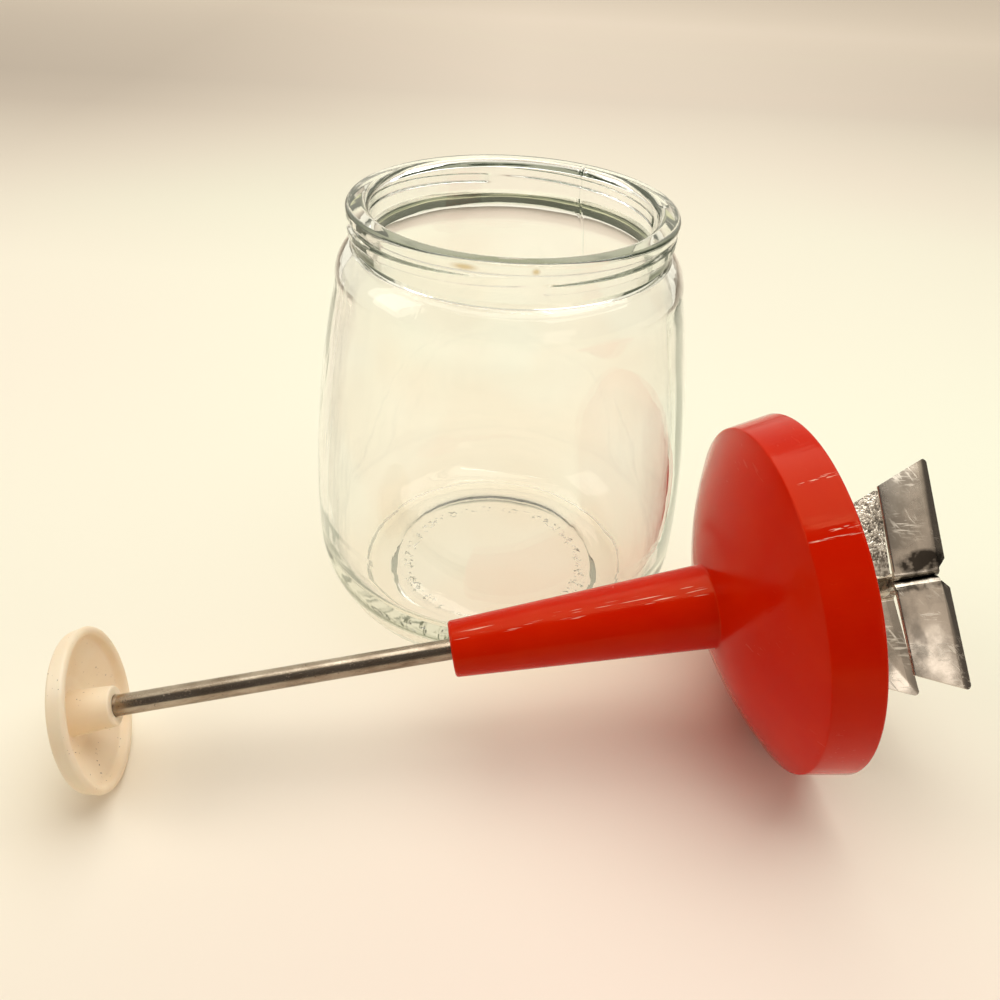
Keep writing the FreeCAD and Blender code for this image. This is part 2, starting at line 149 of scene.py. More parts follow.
# %% [markdown]
# ## Turning an outline
# Most pieces of this chopper are round: they were moulded or turned. A round piece is an
# outline spun about an axis. The outline is a list of corners, and a corner may have a
# rounding, which a short arc replaces. One vertex is extruded from point to point, the ends
# are joined, and Spin carries the line once round.
#
# The way used here has a flaw. Joining the ends of a ring's outline also fills it with a face,
# and Spin leaves one at each step. So the lid, the guide, the gasket and the washer have hidden
# faces inside their walls. Deleting only that first face before the spin would avoid them.

# %% Trace an outline with rounded corners
MOST_OF_A_SIDE = 0.49


def arc_points(before, corner, after, rounding, steps):
    """Points of the arc that rounds off one corner; it takes up to half of each side."""
    towards_before = (before - corner).normalized()
    towards_after = (after - corner).normalized()
    half = towards_before.angle(towards_after) / 2
    reach = min(rounding / math.tan(half), MOST_OF_A_SIDE * (before - corner).length,
                MOST_OF_A_SIDE * (after - corner).length)
    radius = reach * math.tan(half)
    centre = corner + (towards_before + towards_after).normalized() * (radius / math.sin(half))
    first = corner + towards_before * reach - centre
    last = corner + towards_after * reach - centre
    sweep = first.angle(last)
    for step in range(steps + 1):
        part = step / steps
        yield centre + (first * math.sin((1 - part) * sweep)
                        + last * math.sin(part * sweep)) / math.sin(sweep)


def bow(start, end, radius, steps=12):
    """Points between the ends of an arc; it bulges to the right of the way if radius > 0."""
    start, end = Vector(start), Vector(end)
    chord = end - start
    side = Vector((chord.y, -chord.x)).normalized() * math.copysign(1, radius)
    half = math.asin(chord.length / 2 / abs(radius))
    centre = (start + end) / 2 - side * abs(radius) * math.cos(half)
    for step in range(1, steps):
        angle = half * (2 * step / steps - 1)
        reach = side * math.cos(angle) + chord.normalized() * math.sin(angle)
        yield tuple(centre + reach * abs(radius))


def run(start, end, steps):
    """Evenly spaced points between two corners, where a surface needs rows to be shaped."""
    start, end = Vector(start), Vector(end)
    return [tuple(start.lerp(end, step / steps)) for step in range(1, steps)]


def trace(corners, steps=6):
    """Outline points, in mm, from corners (radius, height) or (radius, height, rounding)."""
    points = []
    for index, corner in enumerate(corners):
        here = Vector(corner[:2])
        if len(corner) == 2:
            points.append(here)
        else:
            before = Vector(corners[index - 1][:2])
            after = Vector(corners[(index + 1) % len(corners)][:2])
            points.extend(arc_points(before, here, after, corner[2], steps))
    return points


# %% Spin the outline
def join_ends(piece):
    """Close an outline from its last vertex to its first; this also fills it with a face."""
    bpy.ops.mesh.select_all(action="SELECT")
    bpy.ops.object.mode_set(mode="OBJECT")
    ends = (0, len(piece.data.vertices) - 1)
    for vertex in piece.data.vertices:
        vertex.select = vertex.index in ends
    bpy.ops.object.mode_set(mode="EDIT")
    bpy.ops.mesh.edge_face_add()


def spin_outline(name, points, steps):
    """Extrude one vertex along the outline and spin it round the Z axis."""
    deselect_all()
    bpy.ops.mesh.primitive_plane_add(size=MM)
    piece = bpy.context.object
    piece.name = name
    bpy.ops.object.mode_set(mode="EDIT")
    bpy.ops.mesh.merge(type="CENTER")
    here = Vector((0, 0, 0))
    for number, point in enumerate(points):
        there = Vector((point.x, 0, point.y)) * MM
        if number == 0:
            bpy.ops.transform.translate(value=there)
        else:
            bpy.ops.mesh.extrude_region_move(TRANSFORM_OT_translate={"value": there - here})
        here = there
    if points[0].x > 0 or points[-1].x > 0:
        join_ends(piece)
    bpy.ops.mesh.select_all(action="SELECT")
    bpy.ops.mesh.spin(steps=steps, angle=math.tau, center=(0, 0, 0), axis=(0, 0, 1))
    bpy.ops.object.mode_set(mode="OBJECT")
    weld_and_face_out(piece)
    return piece


# %% [markdown]
# ## Writing a finish
# A finish is a small tree of nodes. The same few kinds come back, so one helper adds a node and
# sets its sockets by name. Patterns read object coordinates. On the head they pass a Mapping
# node first, which turns them to the head's axis, so that Z runs along the rod.

# %% Helpers to build a node tree
def new_finish(name):
    material = bpy.data.materials.new(name)
    material.use_nodes = True
    material.node_tree.nodes.clear()
    return material


def add_node(material, kind, settings=None, **sockets):
    """Add a node; i0, i1 and so on are sockets by number, and a node's output is linked."""
    node = material.node_tree.nodes.new(kind)
    for key, value in (settings or {}).items():
        setattr(node, key, value)
    for key, value in sockets.items():
        name = key.replace("_", " ")
        socket = node.inputs[int(key[1:])] if key[1:].isdigit() else node.inputs[name]
        if isinstance(value, bpy.types.NodeSocket):
            material.node_tree.links.new(value, socket)
        else:
            socket.default_value = value
    return node


def blend_colours(material, share, first, second):
    mix = add_node(material, "ShaderNodeMix", {"data_type": "RGBA"}, i0=share, i6=first, i7=second)
    return mix.outputs[2]


def mix_shaders(material, share, first, second):
    return add_node(material, "ShaderNodeMixShader", i0=share, i1=first.outputs[0],
                    i2=second.outputs[0])


def combine(material, operation, *values):
    """Join two or more values with one operation, such as ADD or MAXIMUM."""
    result = values[0]
    for value in values[1:]:
        result = add_node(material, "ShaderNodeMath", {"operation": operation}, i0=result,
                          i1=value).outputs[0]
    return result


def product(material, *values):
    """Values multiplied, so that patterns and fades from 0 to 1 limit each other."""
    return combine(material, "MULTIPLY", *values)


def bump(material, height, distance, normal=None):
    """Raise a surface by a pattern; given a normal, it adds to the bumps made before."""
    sockets = {} if normal is None else {"Normal": normal}
    return add_node(material, "ShaderNodeBump", Height=height, Distance=distance, Strength=1.0,
                    **sockets).outputs[0]


def add_surface(material, shader, volume=None):
    output = add_node(material, "ShaderNodeOutputMaterial", Surface=shader.outputs[0])
    if volume is not None:
        material.node_tree.links.new(volume.outputs[0], output.inputs["Volume"])
    return material


# %% Helpers for places on a piece
def squeeze_place(material, place, squeeze):
    """Scale the coordinates; a pattern is drawn out along an axis that is squeezed."""
    return add_node(material, "ShaderNodeMapping", Vector=place, Scale=squeeze).outputs[0]


def place_on_piece(material):
    """Object coordinates, in metres, of a piece that stands upright."""
    return add_node(material, "ShaderNodeTexCoord").outputs["Object"]


def place_on_head(material, squeeze=(1, 1, 1)):
    """Coordinates with Z along the rod, from the knob's rim, X down and Y away."""
    straight = add_node(material, "ShaderNodeMapping", {"vector_type": "TEXTURE"},
                        Vector=place_on_piece(material), Location=knob_rim,
                        Rotation=head_turn.to_euler())
    return squeeze_place(material, straight.outputs[0], squeeze)


def parts_of(material, place):
    """The X, Y and Z of a place, as three values."""
    return tuple(add_node(material, "ShaderNodeSeparateXYZ", Vector=place).outputs)


def unsigned(material, value):
    """The value without its sign."""
    return add_node(material, "ShaderNodeMath", {"operation": "ABSOLUTE"}, i0=value).outputs[0]


def gap_to(material, place, point):
    """Distance in metres to one point."""
    return add_node(material, "ShaderNodeVectorMath", {"operation": "DISTANCE"}, i0=place,
                    i1=point).outputs["Value"]


def radius_of(material, place):
    """Distance in metres from the upright axis."""
    return gap_to(material, squeeze_place(material, place, (1, 1, 0)), (0, 0, 0))


# %% Helpers for patterns
def noise(material, place, scale, detail=3.0, roughness=0.5, distortion=0.0):
    pattern = add_node(material, "ShaderNodeTexNoise", Vector=place, Scale=scale, Detail=detail,
                       Roughness=roughness, Distortion=distortion)
    return pattern.outputs["Fac"]


def spread(material, value, low, high, out_low=0.0, out_high=1.0):
    """Stretch a pattern's range low..high to out_low..out_high, and clamp what lies outside."""
    return add_node(material, "ShaderNodeMapRange", {"clamp": True}, Value=value, From_Min=low,
                    From_Max=high, To_Min=out_low, To_Max=out_high).outputs[0]


def patches(material, place, scale, detail, low, high, out_low=0.0, out_high=1.0):
    """Noise, spread: soft patches about 1/scale metres apart, smaller ones if low is higher."""
    return spread(material, noise(material, place, scale, detail), low, high, out_low, out_high)


def fade(material, value, start, end, first=0, last=1):
    """Fade along an axis, from first at start to last at end; both places are in mm."""
    return spread(material, value, start * MM, end * MM, first, last)


def band(material, value, low, high, soft):
    """1 between low and high, with a soft edge inside each end."""
    return combine(material, "MULTIPLY", spread(material, value, low, low + soft),
                   spread(material, value, high - soft, high, 1, 0))


# %% [markdown]
# ## Floor, air and lamps
# The chopper lies on a plain pale table under soft light. The table is one round sheet. One
# flat colour would look like paper, so it has warm clouds. Beside the lid a pink tint is
# painted for the red light that the lid throws on the table, and painted shade darkens the far
# end, most at its sides. The farthest strip has a faint glow for the camera alone, so that the
# table fades into the backdrop and no light is added.
#
# The air has two tasks. It lights the chopper, dimly and evenly, and it is what steel, plastic
# and glass mirror. The Light Path node tells which kind of ray asks, so each task gets a colour
# of its own, and the backdrop stays pale without more light on the chopper. A mirror needs
# contrast to look like one, so the mirrored air is pale at the back and dim in front, with a
# middle tone on either side of the dim part. Light that has passed through the glass meets an
# air of its own, which is grey-green in front.
#
# Four soft lamps do the rest: a large one overhead and behind, a thin tube that draws the crisp
# lines which smooth plastic shows, one at the left, and a weak one in front.

# %% Table
TABLE_RADIUS = 6.0
TABLE_GAP = 0.05 * MM
TABLE_COLOUR = (0.97, 0.97, 0.78, 1)
TABLE_WARM_PATCH = (0.97, 0.87, 0.73, 1)
# Painted red bounce light: a pink tint on the table beside the lid.
TABLE_PAINTED_RED_BOUNCE = (0.98, 0.84, 0.73, 1)
# Painted shade: the far end of the table is darker, and darker still at its sides.
TABLE_PAINTED_FAR_SHADE = (0.96, 0.85, 0.71, 1)
TABLE_PAINTED_SIDE_SHADE = (0.70, 0.61, 0.50, 1)
TABLE_FAR_GLOW = (0.30, 0.26, 0.20, 1)
# Where the colours fade into each other: from and to, in metres.
RED_BOUNCE_CENTRE = (0.05, -0.17, 0.0)
RED_BOUNCE_REACH = (0.02, 0.17)
RED_BOUNCE_SHARE = 0.8
FAR_FADE = (0.32, 0.68)
LEFT_FADE = (0.0, -0.35)
LEFT_BACK_FADE = (0.22, 0.55)
RIGHT_FADE = (0.2, 0.6)
RIGHT_SHARE = 0.2
GLOW_FADE = (0.65, 1.1)


def table_finish():
    finish = new_finish("pale_table")
    place = place_on_piece(finish)
    x, y, _ = parts_of(finish, place)
    cloud = patches(finish, place, scale=2.2, detail=1, low=0.35, high=0.7)
    colour = blend_colours(finish, cloud, TABLE_COLOUR, TABLE_WARM_PATCH)
    # Painted red bounce light, strongest next to the lid.
    red_bounce = spread(finish, gap_to(finish, place, RED_BOUNCE_CENTRE), *RED_BOUNCE_REACH, RED_BOUNCE_SHARE, 0.0)
    colour = blend_colours(finish, red_bounce, colour, TABLE_PAINTED_RED_BOUNCE)
    # Painted shade towards the far end.
    far = spread(finish, y, *FAR_FADE)
    colour = blend_colours(finish, far, colour, TABLE_PAINTED_FAR_SHADE)
    # More painted shade at the far end's left and right.
    left = product(finish, spread(finish, x, *LEFT_FADE), spread(finish, y, *LEFT_BACK_FADE))
    right = product(finish, spread(finish, x, *RIGHT_FADE, 0.0, RIGHT_SHARE), far)
    aside = combine(finish, "MAXIMUM", left, right)
    colour = blend_colours(finish, aside, colour, TABLE_PAINTED_SIDE_SHADE)
    seen = add_node(finish, "ShaderNodeLightPath").outputs["Is Camera Ray"]
    glow = product(finish, spread(finish, y, *GLOW_FADE), seen)
    top = add_node(finish, "ShaderNodeBsdfPrincipled", Base_Color=colour, Roughness=0.85,
                   Emission_Color=TABLE_FAR_GLOW, Emission_Strength=glow)
    return add_surface(finish, top)


deselect_all()
bpy.ops.mesh.primitive_circle_add(vertices=96, radius=TABLE_RADIUS, fill_type="NGON",
                                 location=(0, 0, -TABLE_GAP))
table = bpy.context.object
table.name = "table"
table.data.materials.append(table_finish())
print("the table is", round(table.dimensions.x, 1), "m across")

# %% Air
AIR_LIGHT = (0.88, 0.77, 0.68, 1)
AIR_LIGHT_STRENGTH = 0.31
AIR_PALE = (1.0, 0.95, 0.80, 1)
AIR_DIM = (0.15, 0.135, 0.12, 1)
AIR_SIDE = (0.66, 0.58, 0.49, 1)
AIR_THROUGH_GLASS = (0.56, 0.58, 0.47, 1)
# Parts of the sky, as fades of a direction's X (to the right) or Y (to the back).
RIGHT_STARTS, RIGHT_ENDS = (0.18, 0.42), (0.9, 0.65)
LEFT_STARTS = (-0.5, -0.7)
FRONT_STARTS = (-0.10, -0.32)
FAR_RIGHT_STARTS = (0.68, 0.84)
BENT_TO_FRONT = (0.25, -0.55)

world = bpy.data.worlds.new("pale_air")
bpy.context.scene.world = world
world.use_nodes = True
world.node_tree.nodes.clear()


def air_fade(value, start, end):
    """Fade smoothly from 0 to 1 between two parts of the sky."""
    return add_node(world, "ShaderNodeMapRange", {"interpolation_type": "SMOOTHSTEP"}, Value=value,
                    From_Min=start, From_Max=end).outputs[0]


ray = add_node(world, "ShaderNodeLightPath").outputs
direction = add_node(world, "ShaderNodeTexCoord").outputs["Generated"]
rightward, backward, _ = parts_of(world, direction)
at_right = product(world, air_fade(rightward, *RIGHT_STARTS),
                   air_fade(rightward, *RIGHT_ENDS))
at_side = combine(world, "MAXIMUM", at_right, air_fade(rightward, *LEFT_STARTS))
mirrored_front = blend_colours(world, at_side, AIR_DIM, AIR_SIDE)
in_front = combine(world, "MAXIMUM", air_fade(backward, *FRONT_STARTS),
                   air_fade(rightward, *FAR_RIGHT_STARTS))
mirrored = blend_colours(world, in_front, AIR_PALE, mirrored_front)
bent = blend_colours(world, air_fade(backward, *BENT_TO_FRONT), AIR_PALE, AIR_THROUGH_GLASS)
went_through = combine(world, "MINIMUM", ray["Transmission Depth"], 1.0)
seen = blend_colours(world, went_through, mirrored, bent)
seen = blend_colours(world, ray["Is Camera Ray"], seen, AIR_PALE)
shown = combine(world, "MAXIMUM", ray["Is Camera Ray"], ray["Is Glossy Ray"],
                ray["Is Transmission Ray"])
lighting_air = add_node(world, "ShaderNodeBackground", Color=AIR_LIGHT, Strength=AIR_LIGHT_STRENGTH)
seen_air = add_node(world, "ShaderNodeBackground", Color=seen)
air = mix_shaders(world, shown, lighting_air, seen_air)
add_node(world, "ShaderNodeOutputWorld", Surface=air.outputs[0])
print("world:", world.name)

# %% Lamps
LAMP_TARGET = Vector((0, -0.03, 0.05))
# Each lamp: name, place in m, size in m, power in W, colour.
LAMPS = [
    ("overhead", (0.14, 0.20, 0.98), (1.3, 0.85), 8.7, (1.0, 1.0, 0.96)),
    ("ceiling_tube", (-0.05, -0.18, 1.05), (0.9, 0.02), 0.6, (1.0, 1.0, 0.96)),
    ("left_window", (-0.95, -0.1, 0.65), (0.5, 0.7), 2.4, (1.0, 0.96, 0.9)),
    ("front_fill", (0.69, -1.02, 0.50), (0.5, 0.3), 0.55, (1.0, 0.97, 0.92)),
]
for lamp_name, lamp_place, lamp_size, power, colour in LAMPS:
    light = bpy.data.lights.new(lamp_name, "AREA")
    light.shape = "RECTANGLE"
    light.size, light.size_y = lamp_size
    light.energy = power
    light.color = colour
    lamp = bpy.data.objects.new(lamp_name, light)
    lamp.location = lamp_place
    aim = LAMP_TARGET - lamp.location
    lamp.rotation_euler = aim.to_track_quat("-Z", "Y").to_euler()
    bpy.context.scene.collection.objects.link(lamp)
print(len(LAMPS), "lamps")

bpy.context.scene.view_settings.view_transform = "Standard"

# %% [markdown]
# ## Glass
# Pressed jar glass is clear but thick. Edge on it looks grey-green, because light passes more
# of it, so the tint is an absorbing volume, not a surface colour. The mould leaves the walls
# slightly wavy and streaked, a fine seam runs up the sides, and a ring of the floor is stippled.
# All of that is bump. An old jar also has a thin film in patches and two brown stains in the
# crease below its lip. A faint cream glow is painted in patches on its walls; it stands in for
# pale reflections and brightens the glass.
#
# Light bounces inside thick glass many times. Following all of it is slow, and giving up leaves
# black spots. So a ray that is still caught after five bounces gets a plain tone, chosen by its
# place in the jar: pale in the floor, grey-green in the walls, and dark at the back and in the
# neck. A clear jar throws only a faint shadow, so shadow rays meet a nearly clear sheet instead.

# %% Waves, streaks, seam and stipple of the glass
WAVE_SQUEEZE = (1, 1, 0.45)
WAVE_HEIGHT = 1.2 * MM
STREAK_SQUEEZE = (1, 1, 0.12)
STREAK_HEIGHT = 0.07 * MM
SEAM_ANGLE = math.radians(61)
SEAM_HALF_WIDTH = 0.45 * MM
SEAM_HEIGHT = 0.14 * MM
STIPPLE_RING = (24.6 * MM, 27.8 * MM, 0.8 * MM)
STIPPLE_HEIGHT = 0.45 * MM
# Fades by height, by depth (from front to back) or by side: from and to in mm, then the share
# at each end.
WALLS_BY_HEIGHT = (10, 34, 0.03, 1)
WALLS_BY_DEPTH = (-46, -22, 0.4, 1)
SEAM_BY_HEIGHT = (60, 100, 0.1, 1)
SEAM_BY_DEPTH = (-10, 10, 0.12, 1)
STIPPLE_BY_HEIGHT = (3, 4, 1, 0)
STIPPLE_BY_SIDE = (12, 20, 0.2, 1)


def wavy_walls(finish, place):
    """Broad waves and fine upright streaks, weaker near the floor and at the front."""
    _, y, z = parts_of(finish, place)
    walls = product(finish, fade(finish, z, *WALLS_BY_HEIGHT), fade(finish, y, *WALLS_BY_DEPTH))
    waves = noise(finish, squeeze_place(finish, place, WAVE_SQUEEZE), scale=38, detail=1.5)
    surface = bump(finish, product(finish, waves, walls), WAVE_HEIGHT)
    streaks = noise(finish, squeeze_place(finish, place, STREAK_SQUEEZE), scale=160, detail=2)
    return bump(finish, product(finish, streaks, walls), STREAK_HEIGHT, surface)


def add_seam(finish, place, surface):
    """The mould's seam, a thin upright line that shows most at the back and high up."""
    x, y, z = parts_of(finish, place)
    off_seam = combine(finish, "SUBTRACT", product(finish, x, math.sin(SEAM_ANGLE)),
                       product(finish, y, math.cos(SEAM_ANGLE)))
    seam = product(finish, spread(finish, unsigned(finish, off_seam), 0, SEAM_HALF_WIDTH, 1, 0),
                   fade(finish, z, *SEAM_BY_HEIGHT), fade(finish, y, *SEAM_BY_DEPTH))
    return bump(finish, seam, SEAM_HEIGHT, surface)


def add_stipple(finish, place, surface):
    """Pressed dots in a ring under the floor, clearest at its left and right."""
    x, _, z = parts_of(finish, place)
    ring = product(finish, band(finish, radius_of(finish, place), *STIPPLE_RING),
                   fade(finish, z, *STIPPLE_BY_HEIGHT),
                   fade(finish, unsigned(finish, x), *STIPPLE_BY_SIDE))
    dots = patches(finish, place, scale=520, detail=2, low=0.54, high=0.66)
    return bump(finish, product(finish, dots, ring), STIPPLE_HEIGHT, surface)


# %% Film, stains and painted glow of the glass
CLEAR = (1, 1, 1, 1)
GLASS_FILM = (1.0, 0.965, 0.945, 1)
GLASS_STAIN = (0.5, 0.3, 0.06, 1)
# Painted glow: a faint cream light that the walls give off, for pale reflections.
GLASS_PAINTED_GLOW = (1.0, 0.93, 0.78, 1)
STAIN_PLACE = Vector((39.9, 0, 114.6)) * MM
# Each stain: its angle round the jar, and how much longer than high it is.
GLASS_STAINS = [(-103.5, 4.0), (-82, 1.3)]
STAIN_FADE = (0.3, 0.9, 0.85, 0)
FILM_BY_HEIGHT = (90, 100, 1, 0)
PAINTED_GLOW_STARTS = (12, 30)
PAINTED_GLOW_ENDS = (88, 98, 1, 0)


def glass_colour(finish, place):
    """White with a faint film in patches, and the brown stains below the lip."""
    _, _, z = parts_of(finish, place)
    film = product(finish, patches(finish, place, scale=26, detail=1, low=0.44, high=0.56),
                   fade(finish, z, *FILM_BY_HEIGHT))
    colour = blend_colours(finish, film, CLEAR, GLASS_FILM)
    for angle, length in GLASS_STAINS:
        around = add_node(finish, "ShaderNodeVectorRotate", {"rotation_type": "Z_AXIS"}, Vector=place,
                          Angle=-math.radians(angle)).outputs[0]
        off_stain = gap_to(finish, squeeze_place(finish, around, (1, 1 / length, 1)), STAIN_PLACE)
        colour = blend_colours(finish, fade(finish, off_stain, *STAIN_FADE), colour, GLASS_STAIN)
    return colour


def painted_glow_share(finish, place):
    """How much painted glow the walls give off, in patches between the heel and the neck."""
    _, _, z = parts_of(finish, place)
    glow_patches = patches(finish, place, scale=30, detail=1.5, low=0.42, high=0.62, out_low=0.008,
                   out_high=0.045)
    return product(finish, glow_patches, fade(finish, z, *PAINTED_GLOW_STARTS), fade(finish, z, *PAINTED_GLOW_ENDS))


# %% Light caught in the glass
CAUGHT_IN_FLOOR = (0.90, 0.83, 0.66, 1)
CAUGHT_FLOOR_LINE = (0.36, 0.36, 0.27, 1)
CAUGHT_IN_WALL = (0.38, 0.385, 0.28, 1)
CAUGHT_DARK = (0.045, 0.058, 0.034, 1)
RINGS_PER_METRE = 700
RING_BREAKS_PER_METRE = 20
FLOOR_BY_RADIUS = (34, 37, 1, 0)
FLOOR_BY_HEIGHT = (9, 14, 1, 0)
BACK_BY_HEIGHT = (10, 16)
BACK_BY_DEPTH = (0, 15)
NECK_BY_HEIGHT = (84, 92)


def caught_light(finish, place):
    """Tone of a ray still in the glass: ringed floor, walls, and the dark back and neck."""
    x, y, z = parts_of(finish, place)
    radius = radius_of(finish, place)
    rings = add_node(finish, "ShaderNodeCombineXYZ",
                     X=product(finish, radius, RINGS_PER_METRE),
                     Y=product(finish, x, RING_BREAKS_PER_METRE),
                     Z=product(finish, y, RING_BREAKS_PER_METRE)).outputs[0]
    lines = patches(finish, rings, scale=1, detail=1, low=0.53, high=0.62)
    floor_tone = blend_colours(finish, lines, CAUGHT_IN_FLOOR, CAUGHT_FLOOR_LINE)
    in_floor = product(finish, fade(finish, radius, *FLOOR_BY_RADIUS),
                       fade(finish, z, *FLOOR_BY_HEIGHT))
    tone = blend_colours(finish, in_floor, CAUGHT_IN_WALL, floor_tone)
    at_back = product(finish, fade(finish, z, *BACK_BY_HEIGHT), fade(finish, y, *BACK_BY_DEPTH))
    dark = combine(finish, "MAXIMUM", at_back, fade(finish, z, *NECK_BY_HEIGHT))
    return blend_colours(finish, dark, tone, CAUGHT_DARK)


# %% Pressed glass
GLASS_TINT = (0.86, 0.88, 0.73, 1)
GLASS_DENSITY = 15.0
GLASS_BENDING = 1.5
GLASS_SHADOW = (0.992, 0.988, 0.982, 1)
DEEPEST_FOLLOWED = 4.5


def glass_finish():
    finish = new_finish("pressed_glass")
    place = place_on_piece(finish)
    surface = add_stipple(finish, place, add_seam(finish, place, wavy_walls(finish, place)))
    glass = add_node(finish, "ShaderNodeBsdfPrincipled", Base_Color=glass_colour(finish, place),
                     Roughness=0.0, IOR=GLASS_BENDING, Transmission_Weight=1.0, Normal=surface)
    ray = add_node(finish, "ShaderNodeLightPath").outputs
    too_deep = combine(finish, "GREATER_THAN", ray["Ray Depth"], DEEPEST_FOLLOWED)
    caught = add_node(finish, "ShaderNodeEmission", Color=caught_light(finish, place))
    body = mix_shaders(finish, too_deep, glass, caught)
    # Painted glow on the walls, in patches.
    glow_light = add_node(finish, "ShaderNodeEmission", Color=GLASS_PAINTED_GLOW)
    with_painted_glow = mix_shaders(finish, painted_glow_share(finish, place), body, glow_light)
    casts_light = combine(finish, "MAXIMUM", ray["Is Shadow Ray"], ray["Is Diffuse Ray"])
    clear = add_node(finish, "ShaderNodeBsdfTransparent", Color=GLASS_SHADOW)
    tint = add_node(finish, "ShaderNodeVolumeAbsorption", Color=GLASS_TINT, Density=GLASS_DENSITY)
    return add_surface(finish, mix_shaders(finish, casts_light, with_painted_glow, clear), tint)


pressed_glass = glass_finish()
print("finish:", pressed_glass.name)

# %% [markdown]
# ## The jar
# The jar is one outline: foot ring, heel, barrel, shoulder, neck and round lip, and back down
# the inside to a thick floor. The neck gets many rows of points, because the thread is pressed
# out of it next. A separate screw ridge laid on the neck would look glued on, and light would
# show its hidden faces through the glass, so the ridge is made from the wall itself.

# %% Trace and spin the jar
JAR_TOP = 116.0
LIP_RADIUS = 40.0
MOUTH_RADIUS = 34.7
NECK_RADIUS = 38.8
NECK_LOW = 107.1
NECK_HIGH = 113.1
SHOULDER = (43.4, 97.0)
WIDEST = (51.88, 24.0)
GLASS_WALL = 3.2

heel_start = (43.0, 3.2)
inner_neck = (MOUTH_RADIUS, 103.9)
inner_shoulder = (SHOULDER[0] - GLASS_WALL, SHOULDER[1] - 1.0)
inner_widest = (WIDEST[0] - GLASS_WALL, WIDEST[1])
inner_floor = (30.6, 6.8)
jar_outline = trace([
    (0, 2.4), (18, 2.1), (29.4, 1.7), (31.2, 1.6, 0.5), (32.6, 0, 0.6), (40.6, 0, 2.2),
    (41.8, 1.3, 1.2), (41.9, 2.6, 0.8), heel_start,
    *bow(heel_start, WIDEST, 28.7), WIDEST, *bow(WIDEST, SHOULDER, 315, 20),
    SHOULDER, *bow(SHOULDER, (39.4, 105.9), 10), (39.4, 105.9, 0.8),
    (NECK_RADIUS, NECK_LOW, 0.5),
    *run((NECK_RADIUS, NECK_LOW + 0.5), (NECK_RADIUS, NECK_HIGH - 0.2), 42),
    (NECK_RADIUS, NECK_HIGH, 0.3), (LIP_RADIUS, 113.7, 0.4),
    (LIP_RADIUS, JAR_TOP, 1.7), (MOUTH_RADIUS, JAR_TOP, 1.7),
    *run((MOUTH_RADIUS, 113.5), inner_neck, 4), inner_neck,
    *bow(inner_neck, inner_shoulder, -8), inner_shoulder,
    *bow(inner_shoulder, inner_widest, -311.8, 20), inner_widest,
    *bow(inner_widest, inner_floor, -20, 16), inner_floor, (29.6, 6.2, 0.5), (28.6, 6.7, 0.6),
    (18, 6.8), (0, 7.0),
], steps=7)
jar = spin_outline("jar_glass", jar_outline, 256)
print("jar:", round(jar.dimensions.x / MM, 1), "mm across and",
      round(jar.dimensions.z / MM, 1), "mm high")

# %% Press the thread out of the neck
THREAD_STARTS = 4
THREAD_LEAD = 8.0
THREAD_HALF_WIDTH = 1.25
THREAD_FLANK = 0.45
THREAD_START_HEIGHT = 110.1
THREAD_PROUD = 1.1
FIRST_START = -78.5
# How each ridge begins and ends, in degrees past its start.
RIDGE_BLUNT_BY = 1.6
RIDGE_FADES_FROM = 58
RIDGE_FADE_LENGTH = 32
ON_THE_WALL = 0.05


def ease(value):
    """Rise smoothly from 0 to 1 as the value does."""
    value = min(1, max(0, value))
    return value * value * (3 - 2 * value)


def screw_place(vertex):
    """Radius and height of a vertex in mm, and its angle past the last start in degrees."""
    radius = math.hypot(vertex.co.x, vertex.co.y) / MM
    angle = math.degrees(math.atan2(vertex.co.y, vertex.co.x))
    return radius, vertex.co.z / MM, (angle - FIRST_START) % (360 / THREAD_STARTS)


def move_out(vertex, radius, proud):
    vertex.co.xy *= (radius + proud) / radius


def ridge_at(turned, off_centre):
    """How far a ridge stands out: blunt where it starts, faded where it runs out."""
    run_in = ease(turned / RIDGE_BLUNT_BY)
    run_out = 1 - ease((turned - RIDGE_FADES_FROM) / RIDGE_FADE_LENGTH)
    across = 1 - ease((abs(off_centre) - THREAD_HALF_WIDTH + THREAD_FLANK) / THREAD_FLANK)
    return run_in * run_out * across


for vertex in jar.data.vertices:
    radius, height, turned = screw_place(vertex)
    if abs(radius - NECK_RADIUS) < ON_THE_WALL and NECK_LOW < height < NECK_HIGH + 0.2:
        centre = THREAD_START_HEIGHT + THREAD_LEAD * turned / 360
        move_out(vertex, radius, THREAD_PROUD * ridge_at(turned, height - centre))
finish_piece(jar, "glass_jar", "jar", pressed_glass, smooth_angle=60)

# %% [markdown]
# ## Moulded plastic
# The lid is glossy orange-red plastic. It is a little translucent, so light bleeds under its
# skin, which subsurface scattering gives. Years of use leave fine hairline scratches and
# patches of dull wear, so the roughness changes from place to place. Along the sleeve's top and
# across the skirt it has pale strokes: partly scuff marks where the head rubs, and partly
# painted glints of a ceiling lamp. They are drawn on unrolled coordinates, the angle round the
# head and the length along it, so that they stay straight on the tapered sleeve. The knob is
# cream plastic that has gathered specks of grime.

# %% Scuff marks and painted glints of the lid
# Pale strokes, partly scuff marks and partly painted glints, placed where a ceiling lamp's glints fall
# on the sleeve and skirt.
SCUFF_GLINT_END = 2.0 * MM
SCUFF_GLINT_SOFTNESS = 0.05
